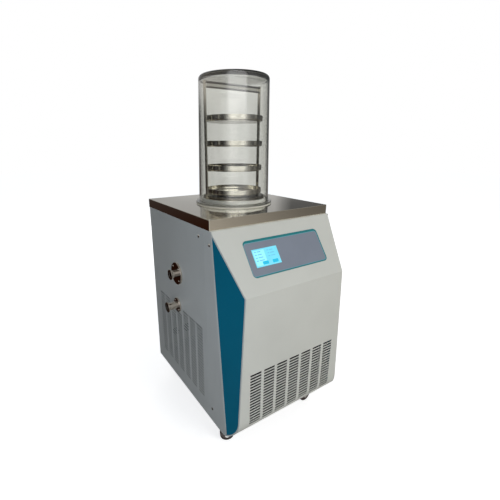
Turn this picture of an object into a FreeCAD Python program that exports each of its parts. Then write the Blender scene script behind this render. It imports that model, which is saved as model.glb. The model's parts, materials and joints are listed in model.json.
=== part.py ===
"""Floor-standing laboratory freeze dryer with a four-tray drying bell.

Millimetres. X runs to the machine's right, the front faces -Y and +Z is up.
The origin is on the floor, on the axis of the drying chamber.
"""
import FreeCAD, Part
import math
import os

# ---- Driving dimensions -------------------------------------------------------

# Cabinet
cabinet_width = 500.0
cabinet_height = 698.0        # side panels, from the base to the top plate
plate_depth = 500.0           # stainless top plate, front to back
axis_setback = 245.0          # top plate's front edge to the chamber axis
slope_lead = 7.0              # slope's top edge, ahead of the top plate
nose_depth = 132.0            # front face, ahead of the top plate
slope_drop = 179.0            # ridge under the slope, below the cabinet's top
toe_radius = 80.0             # round under the front face
cheek_inset = 42.0            # cheek's front edge at the ridge, in from the side
cheek_foot_lead = 86.0        # cheek's rear edge at the base, ahead of the plate
sheet = 1.5                   # painted steel sheet
cover_reveal = 4.5            # folded edge of the front cover beside the cheek
seam_setback = 30.0           # seam of the side panels, behind the plate's edge
seam_gap = 0.5
fold = 15.0                   # inward folds of the panels
rear_bend = 8.0               # outer bend radius at the rear corners
rear_return = 22.0            # side panel's fold across the back

# Top plate and chassis
plate_height = 33.0
plate_sheet = 1.5
plate_edge_radius = 1.2
pan_sheet = 2.0
pan_flange = 30.0
post_leg = 26.0
post_sheet = 2.0

# Ventilation slots
slot_width = 44.0
slot_height = 5.0
front_slot_height = 7.0
slot_column_pitch = 55.0
front_slot_rows = 18
front_row_pitch = 11.0
front_slot_top = 248.0        # top row, above the base
front_slot_columns = 7
side_slot_rows = 24
side_row_pitch = 12.0
side_slot_top = 343.0
side_slot_columns = 7
side_slot_setback = 247.0     # middle of the field, behind the plate's edge
rear_slot_rows = 7
rear_slot_columns = 5
rear_slot_top = 330.0

# Control panel on the slope
overlay_width = 318.0
overlay_height = 120.0
overlay_thickness = 0.8
overlay_radius = 14.0
overlay_down_slope = 47.0     # slope's top edge to the overlay's top edge
overlay_shift = 1.0           # overlay's middle, right of the cabinet's middle
screen_width = 99.0
screen_height = 58.0
screen_from_left = 23.0       # overlay's left edge to the screen
screen_from_top = 32.0
display_border = 6.0
display_depth = 26.0
display_flange = 8.0
display_flange_sheet = 2.0

# Cold trap
trap_depth = 300.0
trap_wall = 1.5
trap_corner = 25.0
collar_wall = 15.0
collar_height = 20.0
collar_edge = 3.0
lip_width = 12.0
trap_clearance = 0.5
foam_thickness = 45.0
foam_floor = 25.0

# Drying bell
bell_collar_gap = 4.5         # collar to the inside of the bell's foot
bell_draft = 7.5              # how much narrower the bell is at its top
bell_wall = 6.0
bell_crown = 15.0
bell_headroom = 9.5           # posts' tops to the crown
bell_shoulder = 13.0
bell_flange_width = 11.5
bell_flange_height = 5.0
bell_flange_edge = 1.5
bell_foot_fillet = 2.0
seal_height = 3.0
seal_inner_gap = 1.5
seal_lip = 2.0

# Tray rack
tray_post_gap = 10.0          # tray's side to the posts' inner faces
rack_collar_inset = 8.0       # rack's base, in from the collar's edge
rack_sheet = 2.0
rack_edge = 3.0
vapour_gap = 5.0              # rack's base to the lowest shelf
vapour_hole_radius = 21.0
vapour_hole_circle = 66.0
vapour_holes = 6
post_thickness = 3.0
post_width = 14.0
rack_headroom = 125.4         # highest tray's underside to the posts' tops
crossbar_height = 20.0
crossbar_depth = 8.0
crossbar_sheet = 2.0
crossbar_drop = 2.0
tray_count = 4
tray_radius = 104.0
tray_height = 18.0
tray_wall = 1.0
tray_corner = 4.0
tray_pitch = 84.7
first_tray = 37.0             # lowest tray's underside, above the top plate
shelf_inset = 8.0             # shelf's edge, in from the tray's side
shelf_thickness = 2.0
shelf_tab_width = 24.0

# Side ports
port_flange_radius = 20.0
port_flange_rim = 3.0
port_flange_taper = 4.0
port_bore_radius = 12.0
port_tube_wall = 2.0
port_recess_step = 1.1        # centring recess in the mouth, wider than the bore
port_hole_gap = 0.5           # round the tubes where they pass the panel
port_recess_depth = 3.0
port_rim_edge = 0.6
port_base_edge = 1.2
port_weld = 0.4               # vacuum tube's end, inside the pot's outer face
vacuum_port_rise = 54.0       # above the trap's floor
vacuum_port_setback = 3.0     # behind the chamber axis
vacuum_port_reach = 30.0
vacuum_base_radius = 42.5
vacuum_base_thickness = 6.0
vacuum_screw_inset = 9.5      # screws, in from the base's edge
drain_port_drop = 78.0        # below the trap's floor
drain_port_setback = 11.0
drain_port_reach = 45.0
drain_base_radius = 28.0
drain_base_thickness = 5.0
drain_screw_inset = 7.0
port_inner_length = 20.0      # drain port's stub inside the panel
port_screw_count = 4
drain_pipe_radius = 8.0
drain_pipe_wall = 1.0
drain_bend_radius = 30.0
drain_washer = 2.0
port_screw_radius = 3.2
port_screw_head = 2.0

# Refrigeration unit
compressor_x = 95.0
compressor_y = 60.0
compressor_radius = 78.0
compressor_height = 185.0
compressor_dome = 45.0
compressor_seam_rise = 83.0   # weld seam above the shell's foot
compressor_seam = 6.0
compressor_rim = 4.0
compressor_foot_x = 96.0      # foot plate, from its middle to its edges
compressor_foot_y = 72.0
compressor_foot_sheet = 3.0
foot_inset = 15.0
foot_radius = 9.0
foot_height = 14.0
condenser_width = 300.0
condenser_height = 230.0
condenser_depth = 44.0
condenser_front_gap = 22.0
condenser_toe_gap = 7.0       # lower front edge to the inside of the toe round
condenser_edge = 8.0
fin_pitch = 15.0
fin_groove = 5.0
fin_depth = 4.0
fan_radius = 95.0
fan_tip_gap = 3.0
fan_depth = 26.0
fan_blades = 5
fan_pitch_deg = 28.0
fan_turn_deg = 18.0           # first blade, from level
fan_hub_radius = 24.0
hub_web = 2.0
blade_width = 40.0
blade_root = 7.0              # how deep a blade is moulded into the hub
blade_sheet = 1.6
shroud_pan_gap = 13.5         # pan's front wall to the shroud's feet
shroud_sheet = 1.5
motor_radius = 30.0
motor_length = 45.0
shaft_radius = 4.0
shaft_stop = 4.0              # shaft's end, behind the rotor's front face
running_gap = 0.05
side_play = 0.4
strut_width = 10.0
strut_sheet = 2.0
strut_inner = 15.0            # struts' inner ends, from the fan's axis
strut_overlap = 8.0           # struts' feet, outside the orifice
shroud_foot = 40.0

# Rear services
service_height = 95.0
inlet_width = 27.0
inlet_height = 20.0
inlet_wall = 2.0
inlet_bezel = 4.0
inlet_depth = 26.0
inlet_cavity = 16.0
inlet_pin_width = 2.0
inlet_pin_height = 4.0
inlet_pin_pitch = 7.0
inlet_pin_stagger = 2.5
inlet_pin_recess = 4.0
bezel_thickness = 2.0
switch_width = 22.0
switch_height = 30.0
switch_wall = 2.0
switch_bezel = 2.0
switch_depth = 22.0
rocker_gap = 0.4
rocker_end_gap = 1.6
rocker_axis_depth = 3.0       # behind the rear panel's face
rocker_face = 4.0             # face's fold, outside the axis
rocker_back = 3.0             # back face, inside the axis
rocker_tilt_deg = 9.0
rocker_pin_radius = 1.5
inlet_x = -170.0
switch_x = -110.0

# Screws of the panels
panel_screw_radius = 5.5
panel_screw_head = 2.0
panel_screw_setback = 70.0    # behind the plate's front edge
panel_screw_drop = 30.0       # below the cabinet's top
strip_screw_setback = 3.0
strip_screw_drop = 44.0
strip_screw_rise = 52.0       # above the base

# Casters
caster_height = 75.0
caster_inset_side = 62.0
caster_front_lead = 38.0      # front casters, ahead of the plate's edge
caster_rear_inset = 62.0
caster_plate_size = 50.0
caster_plate_thickness = 2.5
caster_plate_corner = 5.0
race_radius = 20.0
race_depth = 6.5
race_gap = 0.3
kingpin_radius = 4.0
wheel_radius = 25.0
wheel_width = 20.0
wheel_rim = 4.0               # tread's depth beside the recessed faces
wheel_round = 3.6
hub_radius = 9.0
hub_draft = 1.0
hub_recess = 2.5
caster_trail = 24.0
caster_swing_deg = {          # from trailing to the left, as the machine was rolled in
    "front_left": -25.0, "front_right": 0.0, "rear_left": -90.0, "rear_right": -90.0,
}
fork_sheet = 2.5
fork_gap = 1.5
fork_lug = 8.0
fork_skirt = 4.0              # legs' front edge, below the crown
axle_radius = 3.0
axle_head = 5.0
axle_head_thickness = 1.5

# ---- Derived places -----------------------------------------------------------

side_x = cabinet_width / 2
base_z = caster_height
top_z = base_z + cabinet_height
plate_z = top_z + plate_height
plate_y = -axis_setback
back_y = plate_y + plate_depth
slope_y = plate_y - slope_lead
front_y = plate_y - nose_depth
ridge_z = top_z - slope_drop
seam_y = plate_y + seam_setback
fold_z0 = base_z + pan_flange
fold_z1 = top_z - post_leg
slope_length = math.hypot(slope_y - front_y, slope_drop)
slope_in = (slope_drop / slope_length, -(slope_y - front_y) / slope_length)

rack_radius = tray_radius + tray_post_gap
shelf_radius = tray_radius - shelf_inset
collar_radius = rack_radius + rack_collar_inset
mouth_radius = collar_radius - collar_wall
trap_outer = mouth_radius - trap_clearance
trap_radius = trap_outer - trap_wall
bell_foot_radius = collar_radius + bell_collar_gap + bell_wall
bell_top_radius = bell_foot_radius - bell_draft
bell_flange_radius = bell_foot_radius + bell_flange_width

port_tube_radius = port_bore_radius + port_tube_wall
port_recess_radius = port_bore_radius + port_recess_step

trap_floor_z = plate_z - trap_depth
collar_z = plate_z + collar_height
rack_z = collar_z + trap_wall
rack_top_z = plate_z + first_tray + (tray_count - 1) * tray_pitch + rack_headroom
bell_foot_z = plate_z + seal_height
bell_top_z = rack_top_z + bell_headroom + bell_crown

overlay_x0 = overlay_shift - overlay_width / 2
screen_x0 = overlay_x0 + screen_from_left
screen_s0 = overlay_down_slope + screen_from_top

condenser_y0 = front_y + sheet + condenser_front_gap
condenser_y1 = condenser_y0 + condenser_depth
toe_room = toe_radius - sheet - condenser_toe_gap
toe_offset = front_y + toe_radius - condenser_y0
condenser_z0 = base_z + toe_radius - math.sqrt(toe_room ** 2 - toe_offset ** 2)
condenser_z1 = condenser_z0 + condenser_height
pan_front_y = front_y + toe_radius + seam_gap
shroud_y = pan_front_y + pan_sheet + shroud_pan_gap + shroud_sheet
fan_y = (condenser_y1 + shroud_y) / 2
fan_z = (condenser_z0 + condenser_z1) / 2
motor_gap = fan_depth / 2 + side_play     # shroud's face to the struts

service_z = base_z + service_height
rocker_axis_y = back_y - rocker_axis_depth
caster_race_z = base_z - caster_plate_thickness

far = 4000.0                  # larger than the machine, for cutting solids
past = 1.0                    # how far a cutting solid runs past a face


# ---- Helpers ------------------------------------------------------------------

def vec(x, y, z):
    return FreeCAD.Vector(x, y, z)


def block(x0, x1, y0, y1, z0, z1):
    return Part.makeBox(x1 - x0, y1 - y0, z1 - z0, vec(x0, y0, z0))


def rod(radius, start, end):
    axis = end - start
    return Part.makeCylinder(radius, axis.Length, start, axis)


def polygon(points):
    return Part.Face(Part.makePolygon(points + [points[0]]))


def lathe(outline, x=0.0, y=0.0):
    """Solid of revolution about a vertical axis from (radius, height) edges."""
    face = Part.Face(Part.Wire(outline))
    solid = face.revolve(vec(0, 0, 0), vec(0, 0, 1), 360)
    solid.translate(vec(x, y, 0))
    return solid


def outline_rz(points, arcs=None):
    """Closed (radius, height) outline; arcs maps a corner's number to its radius."""
    arcs = arcs or {}
    corners = [vec(r, 0, z) for r, z in points]
    edges = []
    starts = []
    ends = []
    count = len(corners)
    for number, corner in enumerate(corners):
        radius = arcs.get(number, 0.0)
        if not radius:
            starts.append(corner)
            ends.append(corner)
            edges.append(None)
            continue
        back = (corners[number - 1] - corner).normalize()
        ahead = (corners[(number + 1) % count] - corner).normalize()
        half = math.acos(max(-1.0, min(1.0, back.dot(ahead)))) / 2
        run = radius / math.tan(half)
        middle = corner + (back + ahead).normalize() * (radius / math.sin(half))
        first = corner + back * run
        last = corner + ahead * run
        apex = middle + (corner - middle).normalize() * radius
        starts.append(first)
        ends.append(last)
        edges.append(Part.Arc(first, apex, last).toShape())
    chain = []
    for number in range(count):
        if edges[number]:
            chain.append(edges[number])
        following = starts[(number + 1) % count]
        if (following - ends[number]).Length > 1e-6:
            chain.append(Part.makeLine(ends[number], following))
    return chain


def upright_edges(solid):
    """Edges of a solid that run straight up."""
    found = []
    for edge in solid.Edges:
        box = edge.BoundBox
        if box.ZLength > 10 * max(box.XLength, box.YLength):
            found.append(edge)
    return found


def on_ring(radius, count, start_deg=0.0):
    """Evenly spaced (a, b) places on a circle."""
    for step in range(count):
        angle = math.radians(start_deg + 360.0 * step / count)
        yield radius * math.cos(angle), radius * math.sin(angle)


def save(shape, name):
    shape.exportStep("parts/" + name + ".step")


# ---- Cabinet skin -------------------------------------------------------------

def slope_point_y(z, inset):
    """Y of the slope's face at height z, the face moved inwards by inset."""
    y0 = slope_y + inset * slope_in[0]
    z0 = top_z + inset * slope_in[1]
    return y0 + (z - z0) * (slope_y - front_y) / slope_drop


def slope_point_z(y, inset):
    y0 = slope_y + inset * slope_in[0]
    z0 = top_z + inset * slope_in[1]
    return z0 + (y - y0) * slope_drop / (slope_y - front_y)


def front_chain(inset, lip):
    """Edges down the front: top lip, slope, face and toe round."""
    face_y = front_y + inset
    toe_z = base_z + toe_radius
    centre_y = front_y + toe_radius
    reach = toe_radius - inset
    diagonal = reach / math.sqrt(2)
    a = vec(0, lip, top_z - inset)
    b = vec(0, slope_point_y(top_z - inset, inset), top_z - inset)
    c = vec(0, face_y, slope_point_z(face_y, inset))
    d = vec(0, face_y, toe_z)
    e = vec(0, centre_y, base_z + inset)
    bend = vec(0, centre_y - diagonal, toe_z - diagonal)
    edges = [Part.makeLine(a, b), Part.makeLine(b, c), Part.makeLine(c, d)]
    edges.append(Part.Arc(d, bend, e).toShape())
    return edges, a, e


def front_band(near, deep, lip):
    """The front's profile between two insets, across the whole width."""
    outer, outer_top, outer_toe = front_chain(near, lip)
    inner, inner_top, inner_toe = front_chain(deep, lip)
    closing = [Part.makeLine(outer_top, inner_top), Part.makeLine(outer_toe, inner_toe)]
    face = Part.Face(Part.Wire(Part.__sortEdges__(outer + inner + closing)))
    face.translate(vec(-side_x, 0, 0))
    return face.extrude(vec(cabinet_width, 0, 0))


def front_core(inset):
    """Everything behind the front's profile at one inset, across the width."""
    chain, top, toe = front_chain(inset, plate_y)
    rear_top = vec(0, back_y, top.z)
    rear_toe = vec(0, back_y, toe.z)
    closing = [Part.makeLine(top, rear_top), Part.makeLine(rear_top, rear_toe), Part.makeLine(rear_toe, toe)]
    face = Part.Face(Part.Wire(Part.__sortEdges__(chain + closing)))
    face.translate(vec(-side_x, 0, 0))
    return face.extrude(vec(cabinet_width, 0, 0))


def cheek_normal(side):
    """Outward normal of a cheek; side is -1 on the left and 1 on the right."""
    top = vec(side * side_x, slope_y, top_z)
    foot = vec(side * side_x, plate_y - cheek_foot_lead, base_z)
    ridge = vec(side * (side_x - cheek_inset), front_y, ridge_z)
    normal = (foot - top).cross(ridge - top).normalize()
    return normal if normal.x * side > 0 else normal * -1


def cheek_slab(side, near, deep):
    """Flat slab under a cheek's plane, between two depths inwards."""
    normal = cheek_normal(side)
    corner = vec(side * side_x, slope_y, top_z) - normal * deep
    plane = Part.makePlane(far, far, vec(0, 0, 0), normal)
    plane.translate(corner - plane.CenterOfMass)
    return plane.extrude(normal * (deep - near))


def beyond_cheek(side):
    """Everything outside a cheek's plane."""
    return cheek_slab(side, -far / 4, 0.0)


def slot_columns(count):
    middle = (count - 1) / 2
    return [(column - middle) * slot_column_pitch for column in range(count)]


def front_cover():
    """Bent sheet over slope, face and toe, with edges folded back at the cheeks."""
    cover = front_band(0.0, sheet, plate_y + plate_sheet)
    reveal = front_band(0.0, cover_reveal, plate_y)
    for side in (-1, 1):
        cover = cover.cut(beyond_cheek(side))
    for side in (-1, 1):
        edge = reveal.common(cheek_slab(side, 0.0, sheet))
        cover = cover.fuse(edge)
    inner = side_x - sheet
    for side in (-1, 1):
        x0, x1 = sorted((side * inner, side * (side_x + past)))
        cover = cover.cut(block(x0, x1, cheek_line_y(base_z), back_y, base_z, top_z))
    slots = []
    for x in slot_columns(front_slot_columns):
        for row in range(front_slot_rows):
            z = base_z + front_slot_top - row * front_row_pitch
            x0 = x - slot_width / 2
            z0 = z - front_slot_height / 2
            z1 = z0 + front_slot_height
            slots.append(block(x0, x0 + slot_width, front_y - past, front_y + fold, z0, z1))
    cover = cover.cut(Part.makeCompound(slots))
    cover = cover.cut(on_slope(display_window()))
    return cover.removeSplitter()


def cheek(side):
    """Flat corner cheek between the side panel and the folded edge of the cover."""
    plate = front_core(cover_reveal).common(cheek_slab(side, 0.0, sheet))
    tongue = front_band(sheet, cover_reveal + fold, plate_y)
    tongue = tongue.common(cheek_slab(side, sheet, 2 * sheet))
    solid = plate.fuse(tongue)
    inner = side_x - sheet
    x0, x1 = sorted((side * inner, side * (side_x + past)))
    solid = solid.cut(block(x0, x1, cheek_line_y(base_z) - past, back_y, base_z - past, top_z + past))
    return solid.removeSplitter()


def cheek_line_y(z):
    """Y of the cheek's rear edge, on the side's own plane."""
    foot_y = plate_y - cheek_foot_lead
    return foot_y + (slope_y - foot_y) * (z - base_z) / cabinet_height


def toe_corner_cut(x0, x1):
    """Space ahead of the toe round, to trim what stands at the side."""
    centre = vec(x0, front_y + toe_radius, base_z + toe_radius)
    corner = block(x0, x1, front_y - past, front_y + toe_radius, base_z - past, base_z + toe_radius)
    drum = rod(toe_radius, centre, centre + vec(x1 - x0, 0, 0))
    return corner.cut(drum)


def front_strip(side):
    """Narrow skin between a cheek and the seam, folded inwards at the seam."""
    inner = side_x - sheet
    x0, x1 = sorted((side * inner, side * side_x))
    rear = seam_y - seam_gap / 2
    strip = block(x0, x1, front_y, rear, base_z, top_z)
    f0, f1 = sorted((side * (side_x - fold), side * side_x))
    strip = strip.fuse(block(f0, f1, rear - sheet, rear, fold_z0, fold_z1))
    strip = strip.cut(beyond_cheek(side))
    strip = strip.cut(toe_corner_cut(x0 - past, x1 + past))
    return strip.removeSplitter()


def side_panel(side):
    """Side sheet folded in at the seam and bent round the rear corner."""
    front = seam_y + seam_gap / 2
    profile = [
        vec(side_x - fold, front, base_z),
        vec(side_x, front, base_z),
        vec(side_x, back_y, base_z),
        vec(side_x - rear_return, back_y, base_z),
        vec(side_x - rear_return, back_y - sheet, base_z),
        vec(side_x - sheet, back_y - sheet, base_z),
        vec(side_x - sheet, front + sheet, base_z),
        vec(side_x - fold, front + sheet, base_z),
    ]
    panel = polygon(profile).extrude(vec(0, 0, cabinet_height))
    for z0, z1 in ((base_z, fold_z0), (fold_z1, top_z)):
        panel = panel.cut(block(side_x - fold, side_x - sheet, front, front + sheet, z0, z1))
    bends = {}
    for edge in panel.Edges:
        if edge.BoundBox.ZLength < cabinet_height / 2:
            continue
        x, y = edge.Vertexes[0].X, edge.Vertexes[0].Y
        if abs(x - side_x) < 1e-6 and abs(y - back_y) < 1e-6:
            bends.setdefault(rear_bend, []).append(edge)
        if abs(x - side_x + sheet) < 1e-6 and abs(y - back_y + sheet) < 1e-6:
            bends.setdefault(rear_bend - sheet, []).append(edge)
        if abs(x - side_x) < 1e-6 and abs(y - front) < 1e-6:
            bends.setdefault(sheet, []).append(edge)
    # The innermost bends are rounded one at a time, so that each edge stays whole.
    for radius in sorted(bends):
        panel = round_edges(panel, bends[radius], radius)
    slots = []
    middle = plate_y + side_slot_setback
    for y in slot_columns(side_slot_columns):
        for row in range(side_slot_rows):
            z = base_z + side_slot_top - row * side_row_pitch
            y0 = middle + y - slot_width / 2
            z0 = z - slot_height / 2
            if side < 0 and under_drain_base(y0, z):
                continue
            slots.append(block(side_x - fold, side_x + past, y0, y0 + slot_width, z0, z0 + slot_height))
    panel = panel.cut(Part.makeCompound(slots))
    if side < 0:
        panel = panel.mirror(vec(0, 0, 0), vec(1, 0, 0))
        panel = panel.cut(port_holes())
    return panel


def under_drain_base(y0, z):
    """True where a slot at this height would run under the drain port's base."""
    port_y, port_z = drain_place()
    dy = max(y0 - port_y, port_y - y0 - slot_width, 0.0)
    dz = max(abs(z - port_z) - slot_height / 2, 0.0)
    return math.hypot(dy, dz) < drain_base_radius + slot_height / 2


def round_edges(solid, edges, radius):
    """Fillet the edges of solid that lie where the given ones do."""
    middles = [edge.CenterOfMass for edge in edges]
    found = []
    for edge in solid.Edges:
        for middle in middles:
            if (edge.CenterOfMass - middle).Length < 1e-3:
                found.append(edge)
    return solid.makeFillet(radius, found)


def rear_panel():
    """Flat sheet between the side panels' returns, with slots and service holes."""
    half = side_x - rear_return - seam_gap / 2
    panel = block(-half, half, back_y - sheet, back_y, base_z, top_z)
    y0, y1 = back_y - sheet - past, back_y + past
    holes = []
    for x in slot_columns(rear_slot_columns):
        for row in range(rear_slot_rows):
            z = base_z + rear_slot_top - row * side_row_pitch
            x0 = x - slot_width / 2
            z0 = z - slot_height / 2
            holes.append(block(x0, x0 + slot_width, y0, y1, z0, z0 + slot_height))
    for x, width, height in ((inlet_x, inlet_width, inlet_height), (switch_x, switch_width, switch_height)):
        x0, x1 = x - width / 2, x + width / 2
        holes.append(block(x0, x1, y0, y1, service_z - height / 2, service_z + height / 2))
    return panel.cut(Part.makeCompound(holes))


def top_plate():
    """Folded stainless top with a deep skirt and the mouth of the cold trap."""
    plate = block(-side_x, side_x, plate_y, back_y, top_z, plate_z)
    outer = [e for e in plate.Edges if e.CenterOfMass.z > top_z + past]
    plate = plate.makeFillet(plate_edge_radius, outer)
    s = plate_sheet
    plate = plate.cut(block(-side_x + s, side_x - s, plate_y + s, back_y - s, top_z - past, plate_z - s))
    return plate.cut(rod(mouth_radius, vec(0, 0, top_z), vec(0, 0, plate_z + past)))


# ---- Chassis ------------------------------------------------------------------

def base_pan():
    """Folded floor pan that carries the compressor and the casters."""
    x = side_x - sheet
    y0 = pan_front_y
    y1 = back_y - sheet
    pan = block(-x, x, y0, y1, base_z, base_z + pan_flange)
    corners = [e for e in upright_edges(pan) if e.CenterOfMass.y > y1 - past]
    pan = pan.makeFillet(rear_bend - sheet, corners)
    s = pan_sheet
    hollow = block(-x + s, x - s, y0 + s, y1 - s, base_z + s, base_z + pan_flange + past)
    corners = [e for e in upright_edges(hollow) if e.CenterOfMass.y > y1 - s - past]
    hollow = hollow.makeFillet(rear_bend - sheet - s, corners)
    return pan.cut(hollow)


def angle_post(side, y, facing):
    """Upright angle; facing is 1 with its cross leg at the front, -1 at the rear."""
    x_out = side * (side_x - sheet - pan_sheet)
    x_leg = x_out - side * post_sheet
    x_in = x_out - side * post_leg
    y_leg = y + facing * post_sheet
    y_in = y + facing * post_leg
    z0, z1 = base_z + pan_sheet, top_z
    post = block(*sorted((x_out, x_in)), *sorted((y, y_in)), z0, z1)
    corner = [e for e in post.Edges if abs(e.CenterOfMass.x - x_out) + abs(e.CenterOfMass.y - y) < 1e-6]
    post = post.makeFillet(rear_bend - sheet - pan_sheet, corner)
    return post.cut(block(*sorted((x_leg, x_in)), *sorted((y_leg, y_in)), z0 - past, z1 + past))


def chassis_frame():
    """Welded frame: four upright angles and four rails under the top plate."""
    rear = back_y - sheet - pan_sheet
    front = seam_y - seam_gap / 2 - sheet
    frame = angle_post(-1, rear, -1)
    frame = frame.fuse([angle_post(1, rear, -1), angle_post(-1, front, -1), angle_post(1, front, -1)])
    x = side_x - sheet - pan_sheet
    s = post_sheet
    z0 = top_z - post_leg
    rails = []
    for y_out, facing in ((rear, -1), (front, -1)):
        y_leg = y_out + facing * s
        y_in = y_out + facing * post_leg
        rails.append(block(-x, x, *sorted((y_out, y_leg)), z0, top_z))
        rails.append(block(-x, x, *sorted((y_out, y_in)), top_z - s, top_z))
    for side in (-1, 1):
        x_leg = side * (x - s)
        x_in = side * (x - post_leg)
        rails.append(block(*sorted((side * x, x_leg)), front, rear, z0, top_z))
        rails.append(block(*sorted((side * x, x_in)), front, rear, top_z - s, top_z))
    return frame.fuse(rails).removeSplitter()


# ---- Control panel ------------------------------------------------------------

def slope_plate(x0, x1, s0, s1, z0, z1, radius=0.0):
    """Block on the slope: x across, s down from its top edge, z out of the face."""
    plate = block(x0, x1, -s1, -s0, z0, z1)
    if radius:
        plate = plate.makeFillet(radius, upright_edges(plate))
    return plate


def on_slope(solid):
    """Move a solid from the slope's own frame to its place on the cabinet."""
    lean = math.degrees(math.atan2(slope_drop, slope_y - front_y))
    solid.rotate(vec(0, 0, 0), vec(1, 0, 0), lean)
    solid.translate(vec(0, slope_y, top_z))
    return solid


def display_window():
    """Hole through the front cover for the display's housing."""
    x0, s0 = screen_x0 - display_border, screen_s0 - display_border
    x1 = screen_x0 + screen_width + display_border
    s1 = screen_s0 + screen_height + display_border
    return slope_plate(x0, x1, s0, s1, -fold, past)


def control_overlay():
    """Thin front foil with a window over the display."""
    s0 = overlay_down_slope
    foil = slope_plate(overlay_x0, overlay_x0 + overlay_width, s0, s0 + overlay_height,
                       0.0, overlay_thickness, overlay_radius)
    window = slope_plate(screen_x0, screen_x0 + screen_width, screen_s0, screen_s0 + screen_height,
                         -past, overlay_thickness + past)
    return on_slope(foil.cut(window))


def touch_screen():
    glass = slope_plate(screen_x0, screen_x0 + screen_width, screen_s0, screen_s0 + screen_height,
                        0.0, overlay_thickness)
    return on_slope(glass)


def display_module():
    """Housing of the operator display behind the cover's window."""
    b = display_border - seam_gap
    x0, x1 = screen_x0 - b, screen_x0 + screen_width + b
    s0, s1 = screen_s0 - b, screen_s0 + screen_height + b
    housing = slope_plate(x0, x1, s0, s1, -display_depth, 0.0)
    f = display_flange
    flange = slope_plate(x0 - f, x1 + f, s0 - f, s1 + f, -sheet - display_flange_sheet, -sheet)
    return on_slope(housing.fuse(flange).removeSplitter())


# ---- Cold trap and drying chamber ---------------------------------------------

def trap_collar():
    """White plastic ring that keeps the cold lip of the trap off the top plate."""
    inner, outer = mouth_radius, collar_radius
    points = [(inner, plate_z), (outer, plate_z), (outer, collar_z), (inner, collar_z)]
    return lathe(outline_rz(points, {2: collar_edge}))


def drain_hole(z0, z1):
    """Upright hole for the drain pipe, in line with the drain port."""
    y = drain_place()[0]
    return rod(drain_pipe_radius, vec(0, y, z0), vec(0, y, z1))


def vacuum_hole(radius):
    """Level hole for the vacuum port's tube, from outside the given radius."""
    y, z = vacuum_place()
    return rod(port_tube_radius, vec(-radius - past, y, z), vec(-radius / 2, y, z))


def trap_well():
    """Drawn stainless pot, hung by its lip on the collar."""
    out, floor = trap_outer, trap_floor_z
    points = [
        (0, floor - trap_wall), (out, floor - trap_wall), (out, collar_z),
        (trap_radius + lip_width, collar_z), (trap_radius + lip_width, rack_z),
        (trap_radius, rack_z), (trap_radius, floor), (0, floor),
    ]
    pot = lathe(outline_rz(points, {1: trap_corner + trap_wall, 6: trap_corner}))
    pot = pot.cut(vacuum_hole(out))
    return pot.cut(drain_hole(floor - trap_wall - past, floor + past))


def trap_insulation():
    """Foam jacket cast round the pot, under the top plate."""
    inner = trap_outer
    outer = inner + foam_thickness
    roof = plate_z - plate_sheet
    floor = trap_floor_z - trap_wall
    points = [(0, floor - foam_floor), (outer, floor - foam_floor), (outer, roof), (0, roof)]
    jacket = lathe(outline_rz(points))
    hollow = [(0, floor), (inner, floor), (inner, roof + past), (0, roof + past)]
    jacket = jacket.cut(lathe(outline_rz(hollow, {1: trap_corner + trap_wall})))
    jacket = jacket.cut(vacuum_hole(outer))
    return jacket.cut(drain_hole(floor - foam_floor - past, floor + past))


def chamber_seal():
    """Flat elastomer ring under the bell, with a low lip that centres it."""
    lip = bell_foot_radius - bell_wall - seal_inner_gap
    inner = lip - seal_lip
    top = bell_foot_z
    points = [
        (inner, plate_z), (bell_flange_radius, plate_z), (bell_flange_radius, top),
        (lip, top), (lip, top + bell_flange_height), (inner, top + bell_flange_height),
    ]
    return lathe(outline_rz(points))


def drying_bell():
    """Moulded clear bell with draft, a thick rounded crown and a foot flange."""
    foot, top = bell_foot_z, bell_top_z
    waist = foot + bell_flange_height
    points = [
        (bell_foot_radius - bell_wall, foot), (bell_flange_radius, foot),
        (bell_flange_radius, waist), (bell_foot_radius, waist),
        (bell_top_radius, top), (0, top),
        (0, top - bell_crown), (bell_top_radius - bell_wall, top - bell_crown),
    ]
    rounds = {2: bell_flange_edge, 3: bell_foot_fillet, 4: bell_shoulder, 7: bell_shoulder - bell_wall}
    return lathe(outline_rz(points, rounds))


def rack_base():
    """Inverted pan on the trap's lip that lets the vapour through."""
    s = rack_sheet
    top = tray_floor(0) - shelf_thickness - vapour_gap
    points = [
        (0, top), (rack_radius, top), (rack_radius, rack_z),
        (rack_radius - s, rack_z), (rack_radius - s, top - s), (0, top - s),
    ]
    pan = lathe(outline_rz(points, {1: rack_edge}))
    holes = [rod(vapour_hole_radius, vec(x, y, top - s - past), vec(x, y, top + past))
             for x, y in on_ring(vapour_hole_circle, vapour_holes, 30.0)]
    return pan.cut(Part.makeCompound(holes))


def rack_post(side):
    """Flat upright bar at one side of the rack."""
    inner, outer = rack_radius, rack_radius + post_thickness
    x0, x1 = sorted((side * inner, side * outer))
    return block(x0, x1, -post_width / 2, post_width / 2, rack_z, rack_top_z)


def rack_crossbar():
    """Shallow channel between the posts' tops, used as the handle."""
    top = rack_top_z - crossbar_drop
    d = crossbar_depth / 2
    s = crossbar_sheet
    x = rack_radius
    bar = block(-x, x, -d, d, top - crossbar_height, top)
    hollow = block(-x - past, x + past, -d - past, d - s, top - crossbar_height + s, top - s)
    return bar.cut(hollow)


def tray_floor(number):
    return plate_z + first_tray + number * tray_pitch


def shelf_plate(number):
    """Round shelf with two tabs that reach the posts."""
    z1 = tray_floor(number)
    z0 = z1 - shelf_thickness
    disc = rod(shelf_radius, vec(0, 0, z0), vec(0, 0, z1))
    tab = block(-rack_radius, rack_radius, -shelf_tab_width / 2, shelf_tab_width / 2, z0, z1)
    return disc.fuse(tab).removeSplitter()


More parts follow.
